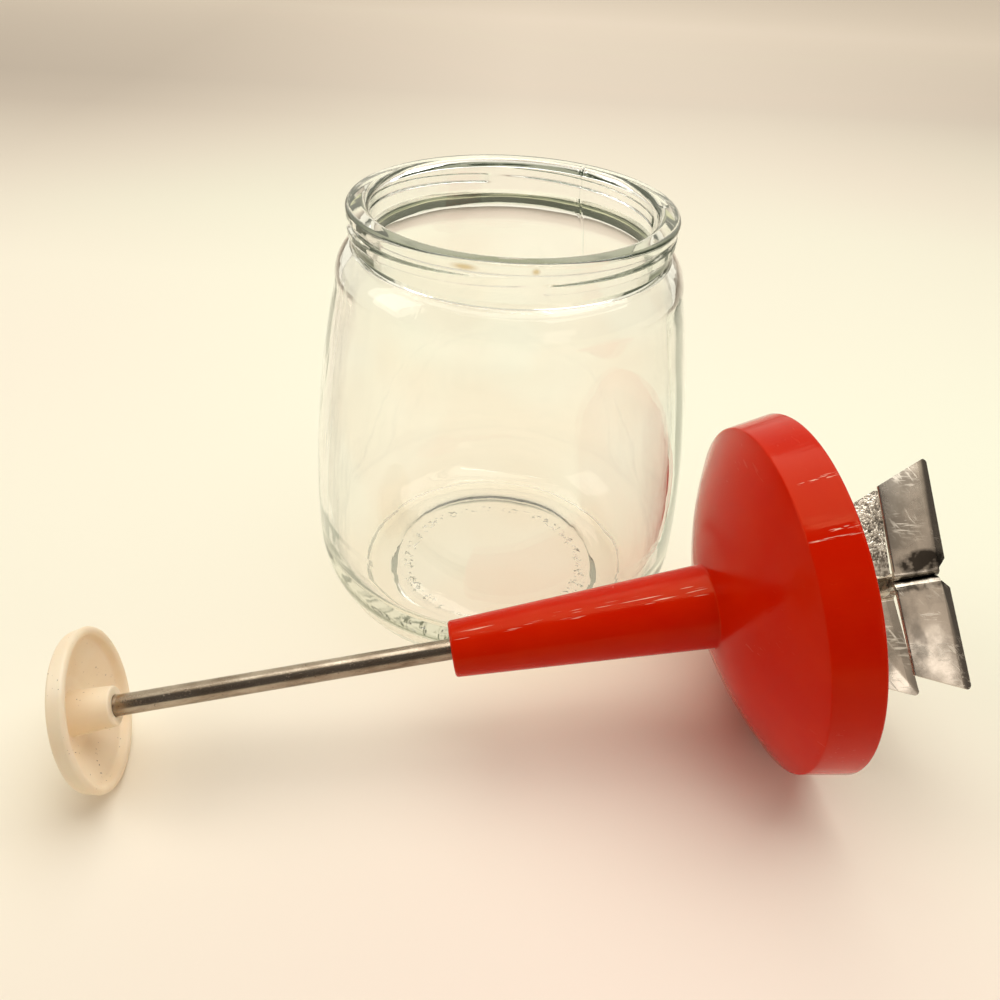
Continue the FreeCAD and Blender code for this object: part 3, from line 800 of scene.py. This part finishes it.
# Each zone: first and last angle from the head's top and soft edge (degrees), from and to
# along the head (mm), lowest pattern value that shows, and pattern to a radian and to a metre.
SCUFF_AND_GLINT_ZONES = [(10, 31, 3, 84, 144, 0.62, 26, 95), (12.2, 13.9, 0.4, 159, 168, 0.56, 150, 420),
           (28.8, 29.8, 0.3, 161, 168, 0.56, 150, 420), (31.1, 31.8, 0.2, 157, 168, 0.50, 200, 200)]


def scuffs_and_glints(finish, place):
    """Thin pale strokes along the head, partly scuff marks and partly painted glints; X points down,
    so its top is where X is lowest.
    """
    x, y, z = parts_of(finish, place)
    turned = combine(finish, "ARCTAN2", product(finish, y, -1.0), product(finish, x, -1.0))
    marks = []
    for start, end, edge, z_from, z_to, lowest, per_radian, per_metre in SCUFF_AND_GLINT_ZONES:
        start, end, edge = (math.radians(angle) for angle in (start, end, edge))
        unrolled = add_node(finish, "ShaderNodeCombineXYZ",
                            X=product(finish, turned, per_radian),
                            Z=product(finish, z, per_metre)).outputs[0]
        strokes = patches(finish, unrolled, scale=1, detail=1, low=lowest,
                          high=lowest + SCUFF_GLINT_SOFTNESS)
        marks.append(product(finish, band(finish, turned, start, end, edge),
                             band(finish, z, z_from * MM, z_to * MM, SCUFF_GLINT_END), strokes))
    return combine(finish, "MAXIMUM", *marks)


# %% Red lid plastic
LID_RED = (0.60, 0.008, 0.0, 1)
LID_RED_WORN = (0.64, 0.014, 0.0, 1)
# Pale colour of the strokes: scuff marks and painted glints.
LID_SCUFF_AND_GLINT = (0.95, 0.56, 0.44, 1)
LID_GLOSS_TINT = (1.0, 0.72, 0.32, 1)
FLOW_SQUEEZE = (1, 1, 0.09)
HAIR_SQUEEZE = (1, 0.12, 0.5)
LID_WAVE_HEIGHT = 0.2 * MM
FLOW_HEIGHT = 0.035 * MM
HAIR_DEPTH = 0.01 * MM
SCUFF_GLINT_DEPTH = 0.03 * MM


def lid_finish():
    finish = new_finish("red_plastic")
    place = place_on_head(finish)
    cloud = patches(finish, place, scale=55, detail=3, low=0.4, high=0.7)
    colour = blend_colours(finish, cloud, LID_RED, LID_RED_WORN)
    # Pale strokes of scuff marks and painted glints.
    worn = scuffs_and_glints(finish, place)
    colour = blend_colours(finish, worn, colour, LID_SCUFF_AND_GLINT)
    flow = noise(finish, place_on_head(finish, FLOW_SQUEEZE), scale=620, detail=3, distortion=0.3)
    hairs = noise(finish, place_on_head(finish, HAIR_SQUEEZE), scale=1500, detail=1, distortion=0.8)
    patch = patches(finish, place, scale=60, detail=2, low=0.45, high=0.62)
    scratches = product(finish, spread(finish, hairs, 0.67, 0.73), patch)
    dull = patches(finish, place, scale=90, detail=5, low=0.4, high=0.75, out_low=0.10, out_high=0.20)
    roughness = combine(finish, "ADD", product(finish, scratches, 0.2), dull)
    surface = bump(finish, noise(finish, place, scale=28, detail=2), LID_WAVE_HEIGHT)
    surface = bump(finish, flow, FLOW_HEIGHT, surface)
    surface = bump(finish, scratches, -HAIR_DEPTH, surface)
    surface = bump(finish, worn, -SCUFF_GLINT_DEPTH, surface)
    plastic = add_node(finish, "ShaderNodeBsdfPrincipled", Base_Color=colour, Roughness=roughness,
                       Normal=surface, Specular_IOR_Level=0.15, Specular_Tint=LID_GLOSS_TINT,
                       Subsurface_Weight=0.08, Subsurface_Radius=(1.0, 0.12, 0.05),
                       Subsurface_Scale=2 * MM)
    return add_surface(finish, plastic)


red_plastic = lid_finish()

# %% Cream knob plastic
CREAM = (0.97, 0.83, 0.62, 1)
CREAM_SHADE = (0.92, 0.74, 0.51, 1)
GRIME = (0.16, 0.09, 0.05, 1)
KNOB_WAVE_HEIGHT = 0.15 * MM
KNOB_ROUGHNESS = (0.34, 0.5)


def knob_finish():
    finish = new_finish("cream_plastic")
    place = place_on_head(finish)
    cloud = patches(finish, place, scale=70, detail=4, low=0.35, high=0.75)
    colour = blend_colours(finish, cloud, CREAM, CREAM_SHADE)
    specks = patches(finish, place, scale=800, detail=2, low=0.735, high=0.77)
    fine = patches(finish, place, scale=1500, detail=1, low=0.74, high=0.80, out_high=0.6)
    colour = blend_colours(finish, combine(finish, "MAXIMUM", specks, fine), colour, GRIME)
    surface = bump(finish, noise(finish, place, scale=60, detail=3), KNOB_WAVE_HEIGHT)
    plastic = add_node(finish, "ShaderNodeBsdfPrincipled", Base_Color=colour, Normal=surface,
                       Roughness=spread(finish, cloud, 0, 1, *KNOB_ROUGHNESS), Subsurface_Weight=0.15,
                       Subsurface_Radius=(1.0, 0.7, 0.45), Subsurface_Scale=2 * MM)
    return add_surface(finish, plastic)


cream_plastic = knob_finish()

# %% Guide, gasket and washer
GUIDE_CREAM = (0.74, 0.68, 0.56, 1)
GUIDE_STAIN = (0.58, 0.50, 0.38, 1)
RUBBER = (0.62, 0.57, 0.48, 1)
RUBBER_STAIN = (0.44, 0.36, 0.27, 1)
GRAIN_HEIGHT = 0.05 * MM


def plain_finish(name, colour, stain, roughness, grain):
    """A stained, slightly grainy finish for a piece inside the lid; grain is its scale."""
    finish = new_finish(name)
    place = place_on_head(finish)
    cloud = patches(finish, place, scale=110, detail=5, low=0.4, high=0.75)
    surface = bump(finish, noise(finish, place, grain, detail=2), GRAIN_HEIGHT)
    body = add_node(finish, "ShaderNodeBsdfPrincipled", Normal=surface,
                    Base_Color=blend_colours(finish, cloud, colour, stain),
                    Roughness=spread(finish, cloud, 0, 1, roughness, roughness + 0.15))
    return add_surface(finish, body)


guide_plastic = plain_finish("guide_plastic", GUIDE_CREAM, GUIDE_STAIN, roughness=0.42, grain=300)
gasket_rubber = plain_finish("gasket_rubber", RUBBER, RUBBER_STAIN, roughness=0.7, grain=900)
print("finishes:", red_plastic.name, cream_plastic.name, guide_plastic.name, gasket_rubber.name)

# %% [markdown]
# ## Steel
# The rod is drawn steel gone brown and dull: fine lines run along it, tarnish lies in clouds,
# and it has small pits. The blades are stamped stainless strip. They are brighter, scratched
# both ways by washing and dull where they were ground, and dark shade is painted into their
# folds and corners. One wing has a rough grain. Both steels are metals, so their colour is the
# colour of what they mirror.

# %% Rod steel
ROD_BRIGHT = (0.45, 0.385, 0.31, 1)
ROD_TARNISH = (0.20, 0.145, 0.10, 1)
ROD_PIT = (0.09, 0.06, 0.045, 1)
DRAWN_SQUEEZE = (1, 1, 0.02)
TARNISH_SQUEEZE = (1, 1, 0.35)
ROD_RELIEF = 0.03 * MM
ROD_ROUGHNESS = (0.14, 0.28)


def rod_finish():
    finish = new_finish("rod_steel")
    drawn = noise(finish, place_on_head(finish, DRAWN_SQUEEZE), scale=1300, detail=3)
    cloud = noise(finish, place_on_head(finish, TARNISH_SQUEEZE), scale=210, detail=6, roughness=0.65)
    tarnish = spread(finish, cloud, 0.38, 0.68)
    pits = patches(finish, place_on_head(finish), scale=1600, detail=2, low=0.66, high=0.74)
    colour = blend_colours(finish, tarnish, ROD_BRIGHT, ROD_TARNISH)
    colour = blend_colours(finish, pits, colour, ROD_PIT)
    roughness = combine(finish, "ADD", spread(finish, drawn, 0.3, 0.7, 0.0, 0.10),
                        spread(finish, tarnish, 0, 1, *ROD_ROUGHNESS))
    surface = bump(finish, drawn, ROD_RELIEF)
    surface = bump(finish, pits, -ROD_RELIEF, surface)
    steel = add_node(finish, "ShaderNodeBsdfPrincipled", Base_Color=colour, Roughness=roughness,
                     Normal=surface, Metallic=1.0)
    return add_surface(finish, steel)


rod_steel = rod_finish()

# %% Scratches and painted fold shade of the blades
BLADE_TURN = math.radians(37.6)
# Near-black: the pits of the grained wing, and the painted shade in the folds and corners.
BLADE_PIT_AND_SHADE = (0.035, 0.028, 0.022, 1)
SCRATCHED_SPOT = (-15.4, 9.5, 189.5)
SCRATCHED_RADIUS = 5.5
SOLID_SHARE = 0.35
# Strokes two ways: squeeze of the pattern, slant (radians), scale, and lowest value that shows.
STROKES = [((1, 1, 0.16), 0.2, 1500, 0.56), ((1, 0.12, 1), -0.5, 1300, 0.58)]
STROKE_SOFTNESS = 0.1
# Painted shade in the folds and corners: centre on the blades' axes (mm), squeeze of each axis,
# radius (mm), and strength.
FOLD_SHADES = [((-15.4, 0.2, 192.0), (1, 1, 0.38), 3.3, 0.95),
          ((-13.2, -17.5, 187.0), (1, 0.4, 1), 2.4, 0.4),
          ((-14.5, -5.2, 190.5), (1, 1, 0.15), 1.5, 0.8),
          ((-12.8, -3.2, 190.5), (0.4, 1, 0.12), 1.7, 0.9)]


def place_on_blades(material, squeeze=(1, 1, 1), slant=0.0):
    """Coordinates with Y up a wing and Z along the rod; a slant tips them in the wing's plane."""
    turned = add_node(material, "ShaderNodeMapping", {"vector_type": "TEXTURE"},
                      Vector=place_on_head(material), Rotation=(slant, 0, BLADE_TURN))
    return squeeze_place(material, turned.outputs[0], squeeze)


def near_spot(finish, place, centre, radius):
    """1 round a spot, fading to 0 at its radius; both are in mm."""
    return spread(finish, gap_to(finish, place, Vector(centre) * MM), SOLID_SHARE * radius * MM,
                  radius * MM, 1, 0)


def blade_scratches(finish, place):
    """Strokes two ways, in clusters and on one worn spot."""
    cluster = combine(finish, "MAXIMUM",
                      patches(finish, place, scale=120, detail=1, low=0.5, high=0.62),
                      near_spot(finish, place_on_blades(finish), SCRATCHED_SPOT, SCRATCHED_RADIUS))
    strokes = []
    for squeeze, slant, scale, lowest in STROKES:
        lines = noise(finish, place_on_blades(finish, squeeze, slant), scale, detail=2, distortion=0.4)
        strokes.append(spread(finish, lines, lowest, lowest + STROKE_SOFTNESS))
    return product(finish, cluster, combine(finish, "MAXIMUM", *strokes))


def add_painted_fold_shade(finish, place, colour):
    ragged = patches(finish, place, scale=330, detail=4, low=0.35, high=0.62, out_low=0.35,
                     out_high=1.35)
    for centre, squeeze, radius, strength in FOLD_SHADES:
        squeezed_centre = [value * share for value, share in zip(centre, squeeze)]
        spot = near_spot(finish, place_on_blades(finish, squeeze), squeezed_centre, radius)
        # Painted shade, darkest at each spot's centre.
        stain = spread(finish, product(finish, spot, ragged), 0.2, 0.7, 0, strength)
        colour = blend_colours(finish, stain, colour, BLADE_PIT_AND_SHADE)
    return colour


# %% Blade steel
BLADE_BRIGHT = (0.66, 0.585, 0.50, 1)
BLADE_DULL = (0.31, 0.27, 0.225, 1)
BLADE_SCRATCH = (0.85, 0.78, 0.68, 1)
BEVEL_START = 194.7 * MM
BEVEL_BLEND = 0.15 * MM
GRAINED_WING = (0.0, 16.0, 194.0)
GRAINED_RADIUS = 16
BLADE_ROUGHNESS = (0.17, 0.32)
BLADE_WAVE_HEIGHT = 0.35 * MM
SCRATCH_DEPTH = 0.008 * MM
WING_GRAIN_HEIGHT = 0.8 * MM


def blade_finish():
    finish = new_finish("blade_steel")
    place = place_on_head(finish)
    _, _, z = parts_of(finish, place)
    cloud = combine(finish, "ADD", noise(finish, place, scale=150, detail=6, roughness=0.6),
                    noise(finish, place, scale=62, detail=2))
    dulled = spread(finish, cloud, 0.82, 1.18)
    colour = blend_colours(finish, dulled, BLADE_BRIGHT, BLADE_DULL)
    ground = spread(finish, z, BEVEL_START, BEVEL_START + BEVEL_BLEND, 0.0, 0.55)
    colour = blend_colours(finish, ground, colour, BLADE_DULL)
    scratches = blade_scratches(finish, place)
    colour = blend_colours(finish, product(finish, scratches, 0.8), colour, BLADE_SCRATCH)
    # Painted shade in the folds and corners.
    colour = add_painted_fold_shade(finish, place, colour)
    grained = near_spot(finish, place, GRAINED_WING, GRAINED_RADIUS)
    grain = combine(finish, "ADD",
                    product(finish, noise(finish, place, scale=560, detail=2), 0.55),
                    product(finish, noise(finish, place, scale=1500, detail=3), 0.45))
    pitted = product(finish, grained, spread(finish, grain, 0.38, 0.46, 0.7, 0.0))
    raised = product(finish, grained, spread(finish, grain, 0.47, 0.55))
    colour = blend_colours(finish, pitted, colour, BLADE_PIT_AND_SHADE)
    colour = blend_colours(finish, raised, colour, BLADE_SCRATCH)
    roughness = combine(finish, "ADD", product(finish, scratches, 0.15),
                        spread(finish, dulled, 0, 1, *BLADE_ROUGHNESS))
    surface = bump(finish, noise(finish, place, scale=85, detail=2), BLADE_WAVE_HEIGHT)
    surface = bump(finish, scratches, -SCRATCH_DEPTH, surface)
    surface = bump(finish, product(finish, grain, grained), WING_GRAIN_HEIGHT, surface)
    steel = add_node(finish, "ShaderNodeBsdfPrincipled", Base_Color=colour, Roughness=roughness,
                     Normal=surface, Metallic=1.0)
    return add_surface(finish, steel)


blade_steel = blade_finish()
print("finishes:", rod_steel.name, blade_steel.name)

# %% [markdown]
# ## The lid
# The lid is one moulding. From the knob's end it is a long sleeve with a thick end wall, then a
# shallow dome that breaks at a crisp line, then a skirt that flares a little to its open rim.
# Inside are a seat for the gasket and four short lugs that catch the jar's thread. Corners are
# rounded slightly, because a moulded edge is never sharp and the rounding catches the light.

# %% Trace and spin the lid
ROD_HOLE = 2.6
SLEEVE_TIP = (6.7, 83.2)
SLEEVE_ROOT = (10.2, 145.2)
SLEEVE_INSIDE = 86.2
DOME_EDGE = (40.7, 156.7)
CREASE = (41.4, 157.0)
RIM = (43.3, 168.0)
LID_WALL = 2.0
SEAT = 158.3
SEAT_RADIUS = 40.4
GUIDE_RADIUS = 34.9
GUIDE_THICK = 1.6

inner_rim = RIM[0] - LID_WALL
hollow_edge = GUIDE_RADIUS - LID_WALL
lid_outline = trace([
    (ROD_HOLE, SLEEVE_TIP[1], 0.4), (SLEEVE_TIP[0], SLEEVE_TIP[1], 0.8),
    *run(SLEEVE_TIP, SLEEVE_ROOT, 10), (*SLEEVE_ROOT, 0.5),
    *bow(SLEEVE_ROOT, DOME_EDGE, 105), (*CREASE, 0.6),
    *run(CREASE, RIM, 6), (*RIM, 0.6), (inner_rim, RIM[1], 0.4),
    *run((inner_rim, RIM[1] - 0.5), (SEAT_RADIUS, SEAT + 0.6), 24), (SEAT_RADIUS, SEAT, 0.3),
    (GUIDE_RADIUS, SEAT), (GUIDE_RADIUS, SEAT - GUIDE_THICK), (hollow_edge, SEAT - GUIDE_THICK, 0.2),
    (hollow_edge, SEAT - 3.4, 0.6), (11.2, 147.2, 0.8), (8.2, 145.2, 0.8),
    (4.7, SLEEVE_INSIDE, 0.5), (ROD_HOLE, SLEEVE_INSIDE, 0.2),
])
lid = spin_outline("lid_red", lid_outline, 192)
print("lid:", round(lid.dimensions.x / MM, 1), "mm across")

# %% Press the four lugs inside the skirt
LUG_CREST = 39.3
LUG_RISE = 2.3
LUG_HALF_WIDTH = 0.4
LUG_FLANK = 0.5
# How each lug begins and ends, in degrees past its start.
LUG_BLUNT_BY = 2.5
LUG_FADES_FROM = 50
LUG_FADE_LENGTH = 3

for vertex in lid.data.vertices:
    radius, height, turned = screw_place(vertex)
    if SEAT_RADIUS - 0.05 < radius < inner_rim + 0.1 and SEAT + 0.8 < height < RIM[1] - 0.4:
        centre = RIM[1] - LUG_RISE + THREAD_LEAD * turned / 360
        width = 1 - ease((abs(height - centre) - LUG_HALF_WIDTH) / LUG_FLANK)
        length = ease(turned / LUG_BLUNT_BY) * (1 - ease((turned - LUG_FADES_FROM) / LUG_FADE_LENGTH))
        move_out(vertex, radius, (LUG_CREST - radius) * width * length)
lay_down(lid)
finish_piece(lid, "lid_shell", "lid", red_plastic, smooth_angle=40)

# %% [markdown]
# ## The knob
# The knob is a moulded dish with a rolled rim. Its hollow side faces the rod, and a boss in the
# middle grips the rod's end. It is an outline again, with an arc for the rolled rim.

# %% Trace and spin the knob
KNOB_RADIUS = 19.3
KNOB_ROLL = 1.05
KNOB_BACK = -7.6
ROD_RADIUS = 2.5
BOSS_TOP = 4.5
SOCKET_FLOOR = -4.5
# A half circle's arc is given a hair more than its radius, so that rounding can't break it.
ROLL_ARC = KNOB_ROLL * 1.001


def turn_piece(name, node, body, material, corners, steps, smooth_angle=35):
    """Spin a piece of the head upright, lay it down and finish it."""
    piece = spin_outline(name, trace(corners), steps)
    lay_down(piece)
    finish_piece(piece, node, body, material, smooth_angle)


roll_out = (KNOB_RADIUS, 0.0)
roll_in = (KNOB_RADIUS - 2 * KNOB_ROLL, 0.0)
turn_piece("knob_cream", "knob", "plunger", cream_plastic, [
    (0, KNOB_BACK), (6.0, KNOB_BACK), (8.3, KNOB_BACK, 1.8), (9.8, -6.9, 0.6),
    (KNOB_RADIUS - 0.7, -3.0, 1.2), (KNOB_RADIUS - 0.3, -1.0),
    roll_out, *bow(roll_out, roll_in, ROLL_ARC), roll_in,
    (roll_in[0] - 0.4, -1.3, 1.0), (8.6, -5.5, 2.0), (5.3, -5.6, 0.5),
    (4.7, BOSS_TOP, 0.5), (ROD_RADIUS, BOSS_TOP, 0.3), (ROD_RADIUS, SOCKET_FLOOR),
    (0, SOCKET_FLOOR),
], steps=128, smooth_angle=50)

# %% [markdown]
# ## Rod, guide, gasket and washer
# These are plain turned pieces. The rod ends in a flat tang that the blades are riveted to: a
# cube is stretched to the tang's size, its edges are bevelled, and it is joined to the rod.

# %% The rod and its tang
BLADE_START = 184.5
TANG = (7.0, 1.6, 10.6)
TANG_OFFSET = 1.4
TANG_BEVEL = 0.25

rod_outline = trace([
    (0, SOCKET_FLOOR), (ROD_RADIUS, SOCKET_FLOOR, 0.4),
    *run((ROD_RADIUS, SOCKET_FLOOR), (ROD_RADIUS, BLADE_START), 24),
    (ROD_RADIUS, BLADE_START, 0.4), (0, BLADE_START),
])
rod = spin_outline("rod_turned", rod_outline, 64)
deselect_all()
bpy.ops.mesh.primitive_cube_add(size=1)
tang = bpy.context.object
bpy.ops.object.mode_set(mode="EDIT")
bpy.ops.transform.resize(value=Vector(TANG) * MM)
bpy.ops.transform.translate(value=(0, -TANG_OFFSET * MM, (BLADE_START + TANG[2] / 2) * MM))
bpy.ops.mesh.bevel(offset=TANG_BEVEL * MM, segments=3, affect="EDGES")
bpy.ops.object.mode_set(mode="OBJECT")
tang.rotation_euler.z = BLADE_TURN
bpy.ops.object.transform_apply(location=True, rotation=True, scale=True)
pick(rod)
tang.select_set(True)
bpy.ops.object.join()
lay_down(rod)
finish_piece(rod, "plunger_rod", "plunger", rod_steel)

# %% The guide, the gasket and the washer
HUB_RADIUS = 5.5
HUB_TOP = 148.0
HUB_END = 182.3
GASKET_INNER, GASKET_OUTER = 33.5, 40.1
GASKET_TOP = SEAT + 0.9
WASHER_RADIUS = 8.0
WASHER_START = 182.6
WASHER_END = 184.0

turn_piece("guide_moulded", "rod_guide", "lid", guide_plastic, [
    (ROD_HOLE, HUB_TOP, 0.2), (HUB_RADIUS, HUB_TOP, 0.6), (HUB_RADIUS, SEAT - GUIDE_THICK),
    (GUIDE_RADIUS, SEAT - GUIDE_THICK), (GUIDE_RADIUS, SEAT), (HUB_RADIUS, SEAT, 1.5),
    (HUB_RADIUS, HUB_END, 0.6), (ROD_HOLE, HUB_END, 0.3),
], steps=128)
turn_piece("gasket_ring", "lid_gasket", "lid", gasket_rubber, [
    (GASKET_INNER, SEAT, 0.2), (GASKET_OUTER, SEAT, 0.2), (GASKET_OUTER, GASKET_TOP, 0.25),
    (GASKET_INNER, GASKET_TOP, 0.25),
], steps=128)
turn_piece("washer_ring", "stop_washer", "washer", gasket_rubber, [
    (ROD_HOLE, WASHER_START, 0.2), (WASHER_RADIUS, WASHER_START, 0.5),
    (WASHER_RADIUS, WASHER_END, 0.5), (ROD_HOLE, WASHER_END, 0.2),
], steps=96)

# %% [markdown]
# ## Blades and rivets
# The frame's blades already have the right folds, slopes and ground edges. What they lack is
# the soft wear on their edges. A copy of each is merged to a closed mesh, its flat faces are
# joined again, and a narrow bevel softens every edge, so that it shows as a thin bright line.

# %% Soften copies of the stamped pieces
LONG_EDGE = 10.0 * MM
BACK_EDGE_DEPTH = 0.05 * MM
CAD_WELD_GAP = 0.003 * MM
FLAT_ANGLE = math.radians(1.0)
SHARP_ANGLE = math.radians(28)


def round_back_edges(piece, width):
    """Round the long edges of the wings that face the lid, where hands and cloths rub."""
    upright_again = head_place.inverted() @ piece.matrix_world
    heights = [(upright_again @ vertex.co).z for vertex in piece.data.vertices]
    limit = min(heights) + BACK_EDGE_DEPTH
    bpy.ops.object.mode_set(mode="EDIT")
    bpy.ops.mesh.select_mode(type="EDGE")
    bpy.ops.mesh.select_all(action="DESELECT")
    bpy.ops.object.mode_set(mode="OBJECT")
    count = 0
    for edge in piece.data.edges:
        first, last = (piece.data.vertices[index] for index in edge.vertices)
        edge.select = (max(heights[first.index], heights[last.index]) < limit
                       and (first.co - last.co).length > LONG_EDGE)
        count += edge.select
    bpy.ops.object.mode_set(mode="EDIT")
    bpy.ops.mesh.bevel(offset=width * MM, segments=4, affect="EDGES")
    bpy.ops.object.mode_set(mode="OBJECT")
    print(piece.name, "has", count, "long edges rounded")


def softened_copy(node, name, width, back_width=0):
    """A closed copy of a CAD node with bevelled edges; the widths are in mm."""
    deselect_all()
    piece = frame["nodes"][node].copy()
    piece.data = piece.data.copy()
    piece.name = name
    for key in list(piece.keys()):
        del piece[key]
    bpy.context.scene.collection.objects.link(piece)
    piece.parent = None
    pick(piece)
    bpy.ops.object.mode_set(mode="EDIT")
    bpy.ops.mesh.select_all(action="SELECT")
    bpy.ops.mesh.remove_doubles(threshold=CAD_WELD_GAP)
    bpy.ops.mesh.dissolve_limited(angle_limit=FLAT_ANGLE)
    bpy.ops.object.mode_set(mode="OBJECT")
    if back_width:
        round_back_edges(piece, back_width)
    edge = piece.modifiers.new("worn_edge", "BEVEL")
    edge.width = width * MM
    edge.segments = 2
    edge.limit_method = "ANGLE"
    edge.angle_limit = SHARP_ANGLE
    bpy.ops.object.modifier_apply(modifier=edge.name)
    return piece


for node, name in (("upper_blade", "blade_upper"), ("lower_blade", "blade_lower")):
    blade = softened_copy(node, name, width=0.12, back_width=0.38)
    finish_piece(blade, node, "plunger", blade_steel, smooth_angle=25)
rivets = softened_copy("blade_rivets", "rivets", width=0.05)
finish_piece(rivets, "blade_rivets", "plunger", blade_steel)

# %% [markdown]
# ## Bring the scene up to date
# The dressed chopper is meant to stay inside the frame's box, which this script doesn't measure.
# The last step brings the view layer up to date.

# %% Update the scene
bpy.context.view_layer.update()
